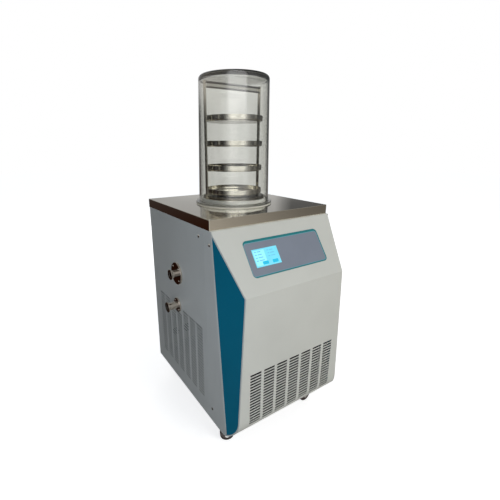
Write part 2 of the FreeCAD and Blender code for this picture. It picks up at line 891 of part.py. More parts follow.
def tray(number):
    """Pressed sample tray, open at the top."""
    z0 = tray_floor(number)
    r, w = tray_radius, tray_wall
    rim = z0 + tray_height
    points = [(0, z0), (r, z0), (r, rim), (r - w, rim), (r - w, z0 + w), (0, z0 + w)]
    return lathe(outline_rz(points, {1: tray_corner, 4: tray_corner - w}))


# ---- Side ports ---------------------------------------------------------------

def port_body(y, z, reach, base_radius, base_thickness, inner_x):
    """Turned port: clamp flange, tube and screwed base, bored right through."""
    face = -side_x
    mouth = face - reach
    rim = mouth + port_flange_rim
    cone = rim + port_flange_taper
    shelf = mouth + port_recess_depth
    outline = [
        (port_recess_radius, mouth), (port_flange_radius, mouth), (port_flange_radius, rim),
        (port_tube_radius, cone), (port_tube_radius, face - base_thickness),
        (base_radius, face - base_thickness), (base_radius, face), (port_tube_radius, face),
        (port_tube_radius, inner_x), (port_bore_radius, inner_x),
        (port_bore_radius, shelf), (port_recess_radius, shelf),
    ]
    body = lathe(outline_rz(outline, {1: port_rim_edge, 5: port_base_edge}))
    body.rotate(vec(0, 0, 0), vec(0, 1, 0), 90)
    body.translate(vec(0, y, z))
    return body


def vacuum_place():
    return vacuum_port_setback, trap_floor_z + vacuum_port_rise


def drain_place():
    return drain_port_setback, trap_floor_z - drain_port_drop


def port_holes():
    """Holes in the left panel for both ports."""
    radius = port_tube_radius + port_hole_gap
    holes = []
    for y, z in (vacuum_place(), drain_place()):
        holes.append(rod(radius, vec(-side_x - past, y, z), vec(-side_x + fold, y, z)))
    return Part.makeCompound(holes)


def vacuum_port():
    """Pump port: its tube is welded straight into the side of the pot."""
    y, z = vacuum_place()
    reach = math.sqrt(trap_outer ** 2 - y * y) - port_weld
    return port_body(y, z, vacuum_port_reach, vacuum_base_radius, vacuum_base_thickness, -reach)


def drain_port():
    y, z = drain_place()
    end = -side_x + port_inner_length
    return port_body(y, z, drain_port_reach, drain_base_radius, drain_base_thickness, end)


def drain_pipe():
    """Tube from the bottom of the pot, bent across to the drain port."""
    y, z = drain_place()
    bend = drain_bend_radius
    start = vec(0, y, trap_floor_z)
    corner = vec(0, y, z)
    end = vec(-side_x + port_inner_length, y, z)
    down = (corner - start).normalize()
    across = (end - corner).normalize()
    first = corner - down * bend
    last = corner + across * bend
    middle = corner + (across - down) * bend
    apex = middle + (corner - middle).normalize() * bend
    path = Part.Wire([Part.makeLine(start, first), Part.Arc(first, apex, last).toShape(),
                      Part.makeLine(last, end)])
    inside = drain_pipe_radius - drain_pipe_wall
    tube = path.makePipeShell([Part.Wire(Part.makeCircle(drain_pipe_radius, start, down))], True, False)
    bore = path.makePipeShell([Part.Wire(Part.makeCircle(inside, start, down))], True, False)
    washer = rod(port_tube_radius, end - across * drain_washer, end)
    tube = tube.fuse(washer).cut(bore)
    return tube.cut(rod(inside, end - across * (drain_washer + past), end + across * past))


def port_screws():
    """Button-head screws round the bases of the two ports."""
    places = ((vacuum_place(), vacuum_base_radius - vacuum_screw_inset, vacuum_base_thickness),
              (drain_place(), drain_base_radius - drain_screw_inset, drain_base_thickness))
    screws = []
    for (y, z), circle, base in places:
        for dy, dz in on_ring(circle, port_screw_count, 45.0):
            seat = vec(-side_x - base, y + dy, z + dz)
            screws.append(button_head(seat, vec(-1, 0, 0), port_screw_radius, port_screw_head))
    return Part.makeCompound(screws)


def button_head(seat, out, radius, height):
    """Low domed screw head standing on a face."""
    dome = (radius * radius + height * height) / (2 * height)
    shoulder = radius / 2
    lift = math.sqrt(dome * dome - shoulder * shoulder) - (dome - height)
    foot, rim, crown = vec(0, 0, 0), vec(radius, 0, 0), vec(0, 0, height)
    arc = Part.Arc(rim, vec(shoulder, 0, lift), crown).toShape()
    head = lathe([Part.makeLine(foot, rim), arc, Part.makeLine(crown, foot)])
    head.Placement = FreeCAD.Placement(seat, FreeCAD.Rotation(vec(0, 0, 1), out))
    return head


def panel_screws():
    """Button-head screws of the side panels and the front strips."""
    panel_y = plate_y + panel_screw_setback
    strip_y = plate_y + strip_screw_setback
    places = [(panel_y, top_z - panel_screw_drop), (strip_y, top_z - strip_screw_drop),
              (strip_y, base_z + strip_screw_rise)]
    screws = []
    for side in (-1, 1):
        for y, z in places:
            seat = vec(side * side_x, y, z)
            screws.append(button_head(seat, vec(side, 0, 0), panel_screw_radius, panel_screw_head))
    return Part.makeCompound(screws)


# ---- Refrigeration unit -------------------------------------------------------

def compressor():
    """Hermetic compressor: domed shell with its weld seam, on a foot plate."""
    floor = base_z + pan_sheet
    z0 = floor + foot_height
    z1 = z0 + compressor_height
    seam = z0 + compressor_seam_rise
    r = compressor_radius
    rim = r + compressor_rim
    points = [
        (0, z0), (r, z0), (r, seam), (rim, seam), (rim, seam + compressor_seam),
        (r, seam + compressor_seam), (r, z1), (0, z1),
    ]
    shell = lathe(outline_rz(points, {1: compressor_dome / 2, 6: compressor_dome}))
    shell.translate(vec(compressor_x, compressor_y, 0))
    x, y = compressor_foot_x, compressor_foot_y
    plate = block(compressor_x - x, compressor_x + x, compressor_y - y, compressor_y + y,
                  z0, z0 + compressor_foot_sheet)
    feet = []
    for dx in (foot_inset - x, x - foot_inset):
        for dy in (foot_inset - y, y - foot_inset):
            at = vec(compressor_x + dx, compressor_y + dy, floor)
            feet.append(rod(foot_radius, at, at + vec(0, 0, foot_height)))
    return shell.fuse([plate] + feet)


def condenser():
    """Finned block, grooved across its front between the rows of tubes."""
    half = condenser_width / 2
    core = block(-half, half, condenser_y0, condenser_y1, condenser_z0, condenser_z1)
    inner = half - condenser_edge
    rows = int(condenser_height / fin_pitch)
    margin = (condenser_height - (rows - 1) * fin_pitch) / 2
    cuts = []
    for row in range(rows):
        z = condenser_z0 + margin + row * fin_pitch
        cuts.append(block(-inner, inner, condenser_y0 - past, condenser_y0 + fin_depth,
                          z - fin_groove / 2, z + fin_groove / 2))
    return core.cut(Part.makeCompound(cuts))


def fan_shroud():
    """Sheet hood behind the condenser, with the fan's orifice and motor struts."""
    half = condenser_width / 2
    s = shroud_sheet
    y0, y1 = condenser_y1, shroud_y
    hood = block(-half, half, y0, y1, condenser_z0, condenser_z1)
    hood = hood.cut(block(-half + s, half - s, y0 - past, y1 - s, condenser_z0 + s, condenser_z1 - s))
    orifice = fan_radius + fan_tip_gap
    hood = hood.cut(rod(orifice, vec(0, y0, fan_z), vec(0, y1 + past, fan_z)))
    seat = y1 + motor_gap
    w = strut_width / 2
    for up in (-1, 1):
        inner = fan_z + up * strut_inner
        outer = fan_z + up * (orifice + strut_overlap)
        bend = outer - up * strut_sheet
        hood = hood.fuse(block(-w, w, seat, seat + strut_sheet, *sorted((inner, outer))))
        hood = hood.fuse(block(-w, w, y1 - s, seat + strut_sheet, *sorted((bend, outer))))
    for x in (-half, half - shroud_foot):
        hood = hood.fuse(block(x, x + shroud_foot, y1 - s, y1, base_z + pan_sheet, condenser_z0 + s))
    return hood.removeSplitter()


def fan_motor():
    """Shaded-pole motor on the shroud's struts, its shaft through the rotor."""
    y0 = shroud_y + motor_gap + strut_sheet
    can = rod(motor_radius, vec(0, y0, fan_z), vec(0, y0 + motor_length, fan_z))
    shaft = rod(shaft_radius, vec(0, fan_y - fan_depth / 2 + shaft_stop, fan_z), vec(0, y0, fan_z))
    return can.fuse(shaft)


def fan_rotor():
    """Axial rotor: a hub and pitched blades, clear of the orifice at their tips."""
    y0, y1 = fan_y - fan_depth / 2, fan_y + fan_depth / 2
    hub = rod(fan_hub_radius, vec(0, y0, fan_z), vec(0, y1, fan_z))
    sweep = rod(fan_radius, vec(0, y0, fan_z), vec(0, y1, fan_z))
    blades = []
    for step in range(fan_blades):
        blade = block(fan_hub_radius - blade_root, fan_radius, -blade_sheet / 2, blade_sheet / 2,
                      -blade_width / 2, blade_width / 2)
        blade.rotate(vec(0, 0, 0), vec(1, 0, 0), 90 - fan_pitch_deg)
        blade.rotate(vec(0, 0, 0), vec(0, 1, 0), 360.0 / fan_blades * step + fan_turn_deg)
        blade.translate(vec(0, fan_y, fan_z))
        blades.append(blade.common(sweep))
    bore = rod(shaft_radius + running_gap, vec(0, y0 + hub_web, fan_z), vec(0, y1 + past, fan_z))
    return hub.fuse(blades).cut(bore)


# ---- Rear services ------------------------------------------------------------

def mains_inlet():
    """Appliance inlet socket with three pins in its cavity."""
    x, z = inlet_x, service_z
    w, h = inlet_width / 2, inlet_height / 2
    b, t = inlet_bezel, inlet_wall
    front = back_y + bezel_thickness
    body = block(x - w, x + w, back_y - inlet_depth, front, z - h, z + h)
    bezel = block(x - w - b, x + w + b, back_y, front, z - h - b, z + h + b)
    cavity = block(x - w + t, x + w - t, back_y - inlet_cavity, front + past, z - h + t, z + h - t)
    solid = body.fuse(bezel).cut(cavity)
    for place in (-1, 0, 1):
        pin_x = x + place * inlet_pin_pitch - inlet_pin_width / 2
        middle = z + inlet_pin_stagger * (1 - 2 * abs(place))
        pin_z = middle - inlet_pin_height / 2
        pin = block(pin_x, pin_x + inlet_pin_width, back_y - inlet_cavity, back_y - inlet_pin_recess,
                    pin_z, pin_z + inlet_pin_height)
        solid = solid.fuse(pin)
    return solid.removeSplitter()


def switch_frame():
    """Open frame of the mains switch, clipped in the rear panel."""
    x, y, z = switch_x, rocker_axis_y, service_z
    w, h = switch_width / 2, switch_height / 2
    b, t = switch_bezel, switch_wall
    rear = back_y - switch_depth
    front = back_y + bezel_thickness
    body = block(x - w, x + w, rear, front, z - h, z + h)
    bezel = block(x - w - b, x + w + b, back_y, front, z - h - b, z + h + b)
    hollow = block(x - w + t, x + w - t, rear + t, front + past, z - h + t, z + h - t)
    pin = rod(rocker_pin_radius, vec(x - w + t / 2, y, z), vec(x + w - t / 2, y, z))
    return body.fuse(bezel).cut(hollow).fuse(pin).removeSplitter()


def switch_rocker():
    """Rocker with a shallow V face, on the pin of the frame, tipped to off."""
    x, y, z = switch_x, rocker_axis_y, service_z
    w = switch_width / 2 - switch_wall - rocker_gap
    h = switch_height / 2 - switch_wall - rocker_end_gap
    face = y + rocker_face
    edge = face + math.tan(math.radians(rocker_tilt_deg)) * h
    outline = [
        vec(x - w, y - rocker_back, z - h), vec(x - w, edge, z - h), vec(x - w, face, z),
        vec(x - w, edge, z + h), vec(x - w, y - rocker_back, z + h),
    ]
    rocker = polygon(outline).extrude(vec(2 * w, 0, 0))
    bore = rod(rocker_pin_radius + running_gap, vec(x - w - past, y, z), vec(x + w + past, y, z))
    rocker = rocker.cut(bore)
    rocker.rotate(vec(x, y, z), vec(1, 0, 0), rocker_tilt_deg)
    return rocker


# ---- Casters ------------------------------------------------------------------

def caster_places():
    front = plate_y - caster_front_lead
    rear = back_y - caster_rear_inset
    x = side_x - caster_inset_side
    return {
        "front_left": (-x, front), "front_right": (x, front),
        "rear_left": (-x, rear), "rear_right": (x, rear),
    }


def caster_plate(x, y):
    """Mounting plate with the bearing race under it."""
    half = caster_plate_size / 2
    low = caster_race_z - race_depth
    plate = block(x - half, x + half, y - half, y + half, caster_race_z, base_z)
    plate = plate.makeFillet(caster_plate_corner, upright_edges(plate))
    race = rod(race_radius, vec(x, y, low), vec(x, y, caster_race_z))
    pin_hole = rod(kingpin_radius + running_gap, vec(x, y, low - past), vec(x, y, caster_race_z))
    return plate.fuse(race).cut(pin_hole)


def tangent_point(centre, radius, outside, turn):
    """Where a line from a point outside touches a circle; turn picks the side."""
    away = outside - centre
    angle = math.atan2(away.z, away.x) + turn * math.acos(radius / away.Length)
    return centre + vec(radius * math.cos(angle), 0, radius * math.sin(angle))


def caster_fork(x, y):
    """Pressed fork: crown with the kingpin, and two legs down to the axle."""
    z1 = caster_race_z - race_depth - race_gap
    z0 = z1 - fork_sheet
    inner = wheel_width / 2 + fork_gap
    outer = inner + fork_sheet
    crown = rod(race_radius, vec(x, y, z0), vec(x, y, z1))
    crown = crown.common(block(x - race_radius, x + race_radius, y - outer, y + outer, z0, z1))
    fork = crown.fuse(rod(kingpin_radius, vec(x, y, z1), vec(x, y, caster_race_z - race_gap)))
    hub = vec(x - caster_trail, 0, wheel_radius)
    reach = math.sqrt(race_radius ** 2 - outer ** 2)
    rear_top = vec(x - reach, 0, z1)
    front_top = vec(x + reach, 0, z1)
    front_low = vec(x + reach, 0, z0 - fork_skirt)
    low = tangent_point(hub, fork_lug, front_low, -1)
    high = tangent_point(hub, fork_lug, rear_top, 1)
    for y0 in (y + inner, y - outer):
        move = vec(0, y0, 0)
        leg = polygon([point + move for point in (rear_top, front_top, front_low, low, high)])
        lug = rod(fork_lug, hub + move, hub + move + vec(0, fork_sheet, 0))
        fork = fork.fuse([leg.extrude(vec(0, fork_sheet, 0)), lug])
    bore = rod(axle_radius, hub + vec(0, y - outer - past, 0), hub + vec(0, y + outer + past, 0))
    return fork.cut(bore).removeSplitter()


def caster_axle(x, y):
    """Riveted axle with a flat head at each end."""
    outer = wheel_width / 2 + fork_gap + fork_sheet
    hub = vec(x - caster_trail, y, wheel_radius)
    axle = rod(axle_radius, hub - vec(0, outer, 0), hub + vec(0, outer, 0))
    heads = [rod(axle_head, hub + vec(0, s * outer, 0), hub + vec(0, s * (outer + axle_head_thickness), 0))
             for s in (-1, 1)]
    return axle.fuse(heads)


def caster_wheel(x, y):
    """Moulded wheel with a rounded tread and recessed faces."""
    w = wheel_width / 2
    face = w - hub_recess
    bore = axle_radius + running_gap
    rim = wheel_radius - wheel_rim
    hub = hub_radius + hub_draft
    points = [
        (bore, -w), (hub_radius, -w), (hub, -face), (rim, -face), (rim, -w), (wheel_radius, -w),
        (wheel_radius, w), (rim, w), (rim, face), (hub, face), (hub_radius, w), (bore, w),
    ]
    wheel = lathe(outline_rz(points, {5: wheel_round, 6: wheel_round}))
    wheel.rotate(vec(0, 0, 0), vec(1, 0, 0), 90)
    wheel.translate(vec(x - caster_trail, y, wheel_radius))
    return wheel


def swung(shape, x, y, swing):
    """Turn a caster's fork, axle or wheel about its kingpin."""
    shape.rotate(vec(x, y, 0), vec(0, 0, 1), swing)
    return shape


# ---- Every sub-part -----------------------------------------------------------

def build():
    os.makedirs("parts", exist_ok=True)
    makers = {
        "base_pan": base_pan, "chassis_frame": chassis_frame, "rear_panel": rear_panel,
        "front_cover": front_cover, "top_plate": top_plate, "control_overlay": control_overlay,
        "display_module": display_module, "touch_screen": touch_screen,
        "trap_collar": trap_collar, "trap_well": trap_well, "trap_insulation": trap_insulation,
        "chamber_seal": chamber_seal, "drying_bell": drying_bell, "rack_base": rack_base,
        "rack_crossbar": rack_crossbar, "vacuum_port": vacuum_port, "drain_port": drain_port,
        "drain_pipe": drain_pipe, "port_screws": port_screws, "panel_screws": panel_screws,
        "compressor": compressor, "condenser": condenser, "fan_shroud": fan_shroud,
        "fan_motor": fan_motor, "fan_rotor": fan_rotor, "mains_inlet": mains_inlet,
        "switch_frame": switch_frame, "switch_rocker": switch_rocker,
    }
    for name, maker in makers.items():
        save(maker(), name)
    for side, word in ((-1, "left"), (1, "right")):
        save(side_panel(side), "side_panel_" + word)
        save(front_strip(side), "front_strip_" + word)
        save(cheek(side), "cheek_" + word)
        save(rack_post(side), "rack_post_" + word)
    for number in range(tray_count):
        save(shelf_plate(number), "shelf_plate_" + str(number + 1))
        save(tray(number), "tray_" + str(number + 1))
    for word, (x, y) in caster_places().items():
        save(caster_plate(x, y), "caster_plate_" + word)
        swing = caster_swing_deg[word]
        save(swung(caster_fork(x, y), x, y, swing), "caster_fork_" + word)
        save(swung(caster_axle(x, y), x, y, swing), "caster_axle_" + word)
        save(swung(caster_wheel(x, y), x, y, swing), "caster_wheel_" + word)


build()
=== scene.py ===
"""Looks of the freeze dryer: its finishes, the print on its panel and the studio.

Metres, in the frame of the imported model: +Z up, the front faces -Y, the ports are at -X.
"""

import json
import math

import bpy
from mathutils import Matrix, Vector


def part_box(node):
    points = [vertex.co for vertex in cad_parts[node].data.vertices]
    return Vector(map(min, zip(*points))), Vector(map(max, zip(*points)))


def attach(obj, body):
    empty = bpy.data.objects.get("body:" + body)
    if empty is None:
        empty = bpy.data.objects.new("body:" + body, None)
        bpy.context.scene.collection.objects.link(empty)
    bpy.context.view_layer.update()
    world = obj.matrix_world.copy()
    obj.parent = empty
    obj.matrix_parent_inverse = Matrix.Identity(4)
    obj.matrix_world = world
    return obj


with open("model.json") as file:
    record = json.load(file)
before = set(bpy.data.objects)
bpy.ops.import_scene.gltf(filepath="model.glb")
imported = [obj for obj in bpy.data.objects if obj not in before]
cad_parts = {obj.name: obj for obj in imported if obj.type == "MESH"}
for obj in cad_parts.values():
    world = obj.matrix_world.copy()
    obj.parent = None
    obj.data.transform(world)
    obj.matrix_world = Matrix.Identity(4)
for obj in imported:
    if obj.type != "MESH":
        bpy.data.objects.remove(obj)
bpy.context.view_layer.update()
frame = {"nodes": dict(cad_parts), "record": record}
nodes = frame["nodes"]
mm = 0.001
cabinet = "cabinet"


# ---- Colours ------------------------------------------------------------------

white = (1.0, 1.0, 1.0, 1.0)


def linear(red, green, blue):
    """Linear colour of a display colour whose channels run from 0 to 255."""
    channels = []
    for value in (red, green, blue):
        share = value / 255
        channels.append(share / 12.92 if share <= 0.04045 else ((share + 0.055) / 1.055) ** 2.4)
    return (*channels, 1.0)


def scaled(colour, factor):
    return (*(channel * factor for channel in colour[:3]), 1.0)


def grey(value, warmth=0.0):
    return (value * (1 + warmth), value, value * (1 - warmth), 1.0)


# ---- Shader building ----------------------------------------------------------

class Shading:
    """A node tree under construction, of a material or of the world."""

    def __init__(self, owner):
        owner.use_nodes = True
        self.owner = owner
        self.tree = owner.node_tree

    def add(self, kind, inputs=None, **settings):
        """Add a node; inputs are numbers, colours or other nodes' sockets."""
        made = self.tree.nodes.new("ShaderNode" + kind)
        for name, value in settings.items():
            setattr(made, name, value)
        for name, value in (inputs or {}).items():
            self.feed(made.inputs[name], value)
        return made

    def feed(self, socket, value):
        if isinstance(value, bpy.types.NodeSocket):
            self.tree.links.new(value, socket)
        else:
            socket.default_value = value

    def calculate(self, operation, *values):
        """Result of one sum, product, comparison or angle."""
        made = self.add("Math", dict(enumerate(values)), operation=operation)
        return made.outputs[0]

    def spread(self, value, low, high, start=0.0, end=1.0):
        """Map a value from start..end to low..high."""
        made = self.add("MapRange", {"Value": value, "From Min": start, "From Max": end,
                                     "To Min": low, "To Max": high})
        return made.outputs["Result"]

    def ramp(self, value, *stops):
        """Colour ramp through (position, colour) stops."""
        made = self.add("ValToRGB", {"Fac": value})
        elements = made.color_ramp.elements
        while len(elements) < len(stops):
            elements.new(0.5)
        for element, (position, colour) in zip(elements, stops):
            element.position = position
            element.color = colour
        return made.outputs["Color"]

    def mix(self, amount, first, second):
        """Colour that goes from the first to the second with the amount."""
        made = self.add("Mix", data_type="RGBA")
        colours = [socket for socket in made.inputs if socket.type == "RGBA"]
        self.feed(made.inputs["Factor"], amount)
        self.feed(colours[0], first)
        self.feed(colours[1], second)
        return next(socket for socket in made.outputs if socket.type == "RGBA")

    def choose(self, amount, first, second):
        """Shader that goes from the first to the second with the amount."""
        made = self.add("MixShader", {"Fac": amount, 1: first, 2: second})
        return made.outputs[0]


class Finish(Shading):
    """A material under construction: its node tree and its main shader."""

    def __init__(self, name):
        super().__init__(bpy.data.materials.new(name))
        self.material = self.owner
        self.shader = self.tree.nodes["Principled BSDF"]
        self.output = next(node for node in self.tree.nodes if node.type == "OUTPUT_MATERIAL")
        self.place = self.add("TexCoord").outputs["Object"]

    def set(self, **values):
        """Set sockets of the main shader; a name's underscores stand for spaces."""
        for name, value in values.items():
            self.feed(self.shader.inputs[name.replace("_", " ")], value)

    def noise(self, scale, detail=3.0, stretch=(1.0, 1.0, 1.0), roughness=0.5):
        """Noise of the given cells per metre, drawn out along an axis by stretch."""
        place = self.add("Mapping", {"Vector": self.place, "Scale": [1 / s for s in stretch]})
        made = self.add("TexNoise", {"Vector": place.outputs["Vector"], "Scale": scale,
                                     "Detail": detail, "Roughness": roughness})
        return made.outputs["Fac"]

    def mottle(self, value, colour, dark, light, start=0.3, end=0.7):
        """The colour, from dark to light times itself as the value goes from start to end."""
        return self.ramp(value, (start, scaled(colour, dark)), (end, scaled(colour, light)))

    def bump(self, height, strength, distance):
        made = self.add("Bump", {"Height": height, "Strength": strength, "Distance": distance})
        self.set(Normal=made.outputs["Normal"])
        return made


# ---- Finishes -----------------------------------------------------------------
# The scale of a noise is in cells per metre.

handling_scale = 55.0         # marks that hands leave on polished steel
polish_scale = 240.0          # waves that polishing leaves in it
polish_depth = 0.05 * mm


def powder_coat(name, colour, roughness, gloss=0.5):
    """Sprayed and baked paint: faint clouding and a fine orange-peel skin."""
    cloud_scale, grain_scale, gloss_scale, peel_scale = 7.0, 1500.0, 35.0, 650.0
    peel_depth = 0.3 * mm
    fold_radius = 0.8 * mm
    finish = Finish(name)
    finish.set(Specular_IOR_Level=gloss)
    tone = finish.mottle(finish.noise(cloud_scale, 4.0), colour, 0.965, 1.02)
    speckle = finish.spread(finish.noise(grain_scale, 2.0), 0.0, 0.05, 0.45, 0.75)
    finish.set(Base_Color=finish.mix(speckle, tone, scaled(colour, 0.8)))
    finish.set(Roughness=finish.spread(finish.noise(gloss_scale, 3.0),
                                       roughness - 0.05, roughness + 0.06))
    finish.set(IOR=1.5)
    skin = finish.bump(finish.noise(peel_scale, 2.0), 0.16, peel_depth)
    folds = finish.add("Bevel", {"Radius": fold_radius}, samples=6)
    finish.feed(skin.inputs["Normal"], folds.outputs["Normal"])
    return finish.material


def brushed_steel(name, colour, roughness, along, scratch=0.2):
    """Stainless with fine lines along one axis, and faint smears in its gloss."""
    line_scale, smear_scale = 2600.0, 9.0
    line_stretch = 60.0
    scratch_depth = 0.02 * mm
    finish = Finish(name)
    stretch = tuple(line_stretch if axis == along else 1.0 for axis in "XYZ")
    lines = finish.noise(line_scale, 3.0, stretch)
    smears = finish.noise(smear_scale, 4.0)
    tone = finish.mottle(lines, colour, 0.9, 1.06, 0.25, 0.75)
    smeared = finish.spread(smears, 0.0, 0.35, 0.45, 0.8)
    finish.set(Base_Color=finish.mix(smeared, tone, scaled(colour, 0.88)))
    finish.set(Metallic=1.0)
    line_gloss = finish.spread(lines, -0.03, 0.05)
    smear_gloss = finish.spread(smears, roughness - 0.02, roughness + 0.05)
    finish.set(Roughness=finish.calculate("ADD", line_gloss, smear_gloss))
    finish.bump(lines, scratch, scratch_depth)
    return finish.material


def polished_steel(name, colour, roughness):
    """Bright turned or drawn stainless with faint handling marks."""
    finish = Finish(name)
    marks = finish.noise(handling_scale, 5.0, roughness=0.65)
    finish.set(Base_Color=finish.mottle(marks, colour, 0.93, 1.03))
    finish.set(Metallic=1.0)
    finish.set(Roughness=finish.spread(marks, roughness, roughness + 0.07, 0.35, 0.8))
    finish.bump(finish.noise(polish_scale, 2.0), 0.05, polish_depth)
    return finish.material


def channel_steel_of(node, name, colour, edge):
    """Satin steel of a level channel, with painted shade as dark lines along its folded edges."""
    fold_shade_darkness = 0.16
    fold_shade_softness = 1.3       # how far the painted shade line fades in, in widths of the edge
    finish = Finish(name)
    low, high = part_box(node)
    height = finish.add("SeparateXYZ", {"Vector": finish.place}).outputs["Z"]
    middle = (low[2] + high[2]) / 2
    off = finish.calculate("ABSOLUTE", finish.calculate("SUBTRACT", height, middle))
    half = (high[2] - low[2]) / 2
    painted_fold_shade = finish.spread(off, 0.0, 1.0, half - edge * fold_shade_softness, half - edge)
    marks = finish.noise(handling_scale, 5.0, roughness=0.65)
    tone = finish.mottle(marks, colour, 0.95, 1.02)
    # Painted shade: the colour darkens towards the top and bottom folds of the channel.
    finish.set(Base_Color=finish.mix(painted_fold_shade, tone, scaled(colour, fold_shade_darkness)))
    finish.set(Metallic=1.0)
    finish.set(Roughness=finish.spread(marks, 0.40, 0.48, 0.35, 0.8))
    finish.bump(finish.noise(polish_scale, 2.0), 0.05, polish_depth)
    return finish.material


def zinc_plate(name, colour, roughness):
    """Galvanised or zinc-plated steel with a pale spangle."""
    spangle_scale, pit_scale = 160.0, 500.0
    pit_depth = 0.1 * mm
    finish = Finish(name)
    cells = finish.add("TexVoronoi", {"Vector": finish.place, "Scale": spangle_scale})
    shade = finish.add("RGBToBW", {"Color": cells.outputs["Color"]}).outputs["Val"]
    finish.set(Base_Color=finish.mottle(shade, colour, 0.85, 1.1, 0.2, 0.8))
    finish.set(Metallic=1.0)
    finish.set(Roughness=finish.spread(shade, roughness, roughness + 0.12))
    finish.bump(finish.noise(pit_scale, 2.0), 0.08, pit_depth)
    return finish.material


def moulded_plastic(name, colour, roughness, grain_strength=0.2):
    """Moulded plastic or rubber with a fine eroded grain."""
    grain_scale, cloud_scale = 1100.0, 30.0
    grain_depth = 0.15 * mm
    finish = Finish(name)
    grain = finish.noise(grain_scale, 3.0)
    finish.set(Base_Color=finish.mottle(finish.noise(cloud_scale, 3.0), colour, 0.9, 1.1))
    finish.set(Roughness=finish.spread(grain, roughness - 0.05, roughness + 0.1))
    finish.bump(grain, grain_strength, grain_depth)
    return finish.material


def clear_acrylic():
    """Polished cast acrylic, faintly grey, with hairlines from wiping; lamps shine through."""
    hairline_scale, cloud_scale = 300.0, 6.0
    hairline_stretch = (1.0, 1.0, 40.0)
    wall_tint = (0.5, 0.5, 0.46, 1.0)
    wall_density = 22.0
    finish = Finish("clear_acrylic")
    hairlines = finish.noise(hairline_scale, 3.0, hairline_stretch)
    finish.set(Base_Color=finish.ramp(finish.noise(cloud_scale, 2.0),
                                      (0.3, linear(228, 229, 225)), (0.7, linear(232, 232, 229))))
    finish.set(Transmission_Weight=1.0)
    finish.set(IOR=1.49)
    finish.set(Roughness=finish.spread(hairlines, 0.0, 0.02, 0.55, 0.8))
    depth = finish.add("VolumeAbsorption", {"Color": wall_tint, "Density": wall_density})
    finish.feed(finish.output.inputs["Volume"], depth.outputs["Volume"])
    open_to_lamps = finish.add("BsdfTransparent", {"Color": white})
    shadow_ray = finish.add("LightPath").outputs["Is Shadow Ray"]
    surface = finish.choose(shadow_ray, finish.shader.outputs[0], open_to_lamps.outputs[0])
    finish.feed(finish.output.inputs["Surface"], surface)
    return finish.material


def seal_silicone():
    """Milky elastomer of the seal."""
    cloud_scale, grain_scale = 60.0, 900.0
    grain_depth = 0.1 * mm
    finish = Finish("seal_silicone")
    cloud = finish.noise(cloud_scale, 3.0)
    finish.set(Base_Color=finish.ramp(cloud, (0.3, linear(196, 197, 190)),
                                      (0.7, linear(210, 211, 204))))
    finish.set(Roughness=finish.spread(cloud, 0.4, 0.55))
    finish.set(Transmission_Weight=0.35)
    finish.set(IOR=1.41)
    finish.bump(finish.noise(grain_scale, 2.0), 0.1, grain_depth)
    return finish.material


def printed_foil(name, colour):
    """Satin polyester foil, printed from behind, with its fine matt grain."""
    grain_scale, cloud_scale = 2200.0, 12.0
    grain_depth = 0.1 * mm
    roughness = 0.38
    finish = Finish(name)
    grain = finish.noise(grain_scale, 2.0)
    finish.set(Base_Color=finish.mottle(finish.noise(cloud_scale, 3.0), colour, 0.96, 1.03))
    finish.set(Roughness=finish.spread(grain, roughness - 0.04, roughness + 0.08))
    finish.bump(grain, 0.08, grain_depth)
    return finish.material


def lit_screen(name, colour, strength):
    """Backlit display area: a faintly uneven glow under a smooth glass."""
    glow_scale, glass_scale = 28.0, 400.0
    finish = Finish(name)
    tone = finish.mottle(finish.noise(glow_scale, 2.0), colour, 0.93, 1.04)
    finish.set(Base_Color=scaled(colour, 0.25))
    finish.set(Emission_Color=tone)
    finish.set(Emission_Strength=strength)
    finish.set(Roughness=finish.spread(finish.noise(glass_scale, 2.0), 0.1, 0.16))
    return finish.material


def cast_foam(name, colour):
    """Foam that set round the pot, with its open cells."""
    cell_scale = 420.0
    cell_depth = 0.8 * mm
    finish = Finish(name)
    cells = finish.noise(cell_scale, 4.0)
    finish.set(Base_Color=finish.mottle(cells, colour, 0.8, 1.0))
    finish.set(Roughness=finish.spread(cells, 0.8, 0.95))
    finish.bump(cells, 0.6, cell_depth)
    return finish.material


def finned_aluminium(name, colour):
    """Fin pack of the condenser: close upright fins drawn by a wave, with painted shade in the gaps
    between them.
    """
    fin_scale = 90.0
    fin_depth = 1.0 * mm
    finish = Finish(name)
    wave = finish.add("TexWave", {"Vector": finish.place, "Scale": fin_scale, "Distortion": 0.3},
                      wave_type="BANDS", bands_direction="X")
    bands = wave.outputs["Fac"]
    # Painted shade: the low bands of the wave darken the colour to a quarter, as the gaps between
    # the fins.
    finish.set(Base_Color=finish.mottle(bands, colour, 0.25, 1.0, 0.2, 0.8))
    finish.set(Metallic=1.0)
    finish.set(Roughness=finish.spread(bands, 0.5, 0.3))
    finish.bump(bands, 0.7, fin_depth)
    return finish.material


fold_shade_width = 5.0 * mm       # painted shade: width of the dark band along the crossbar's folds

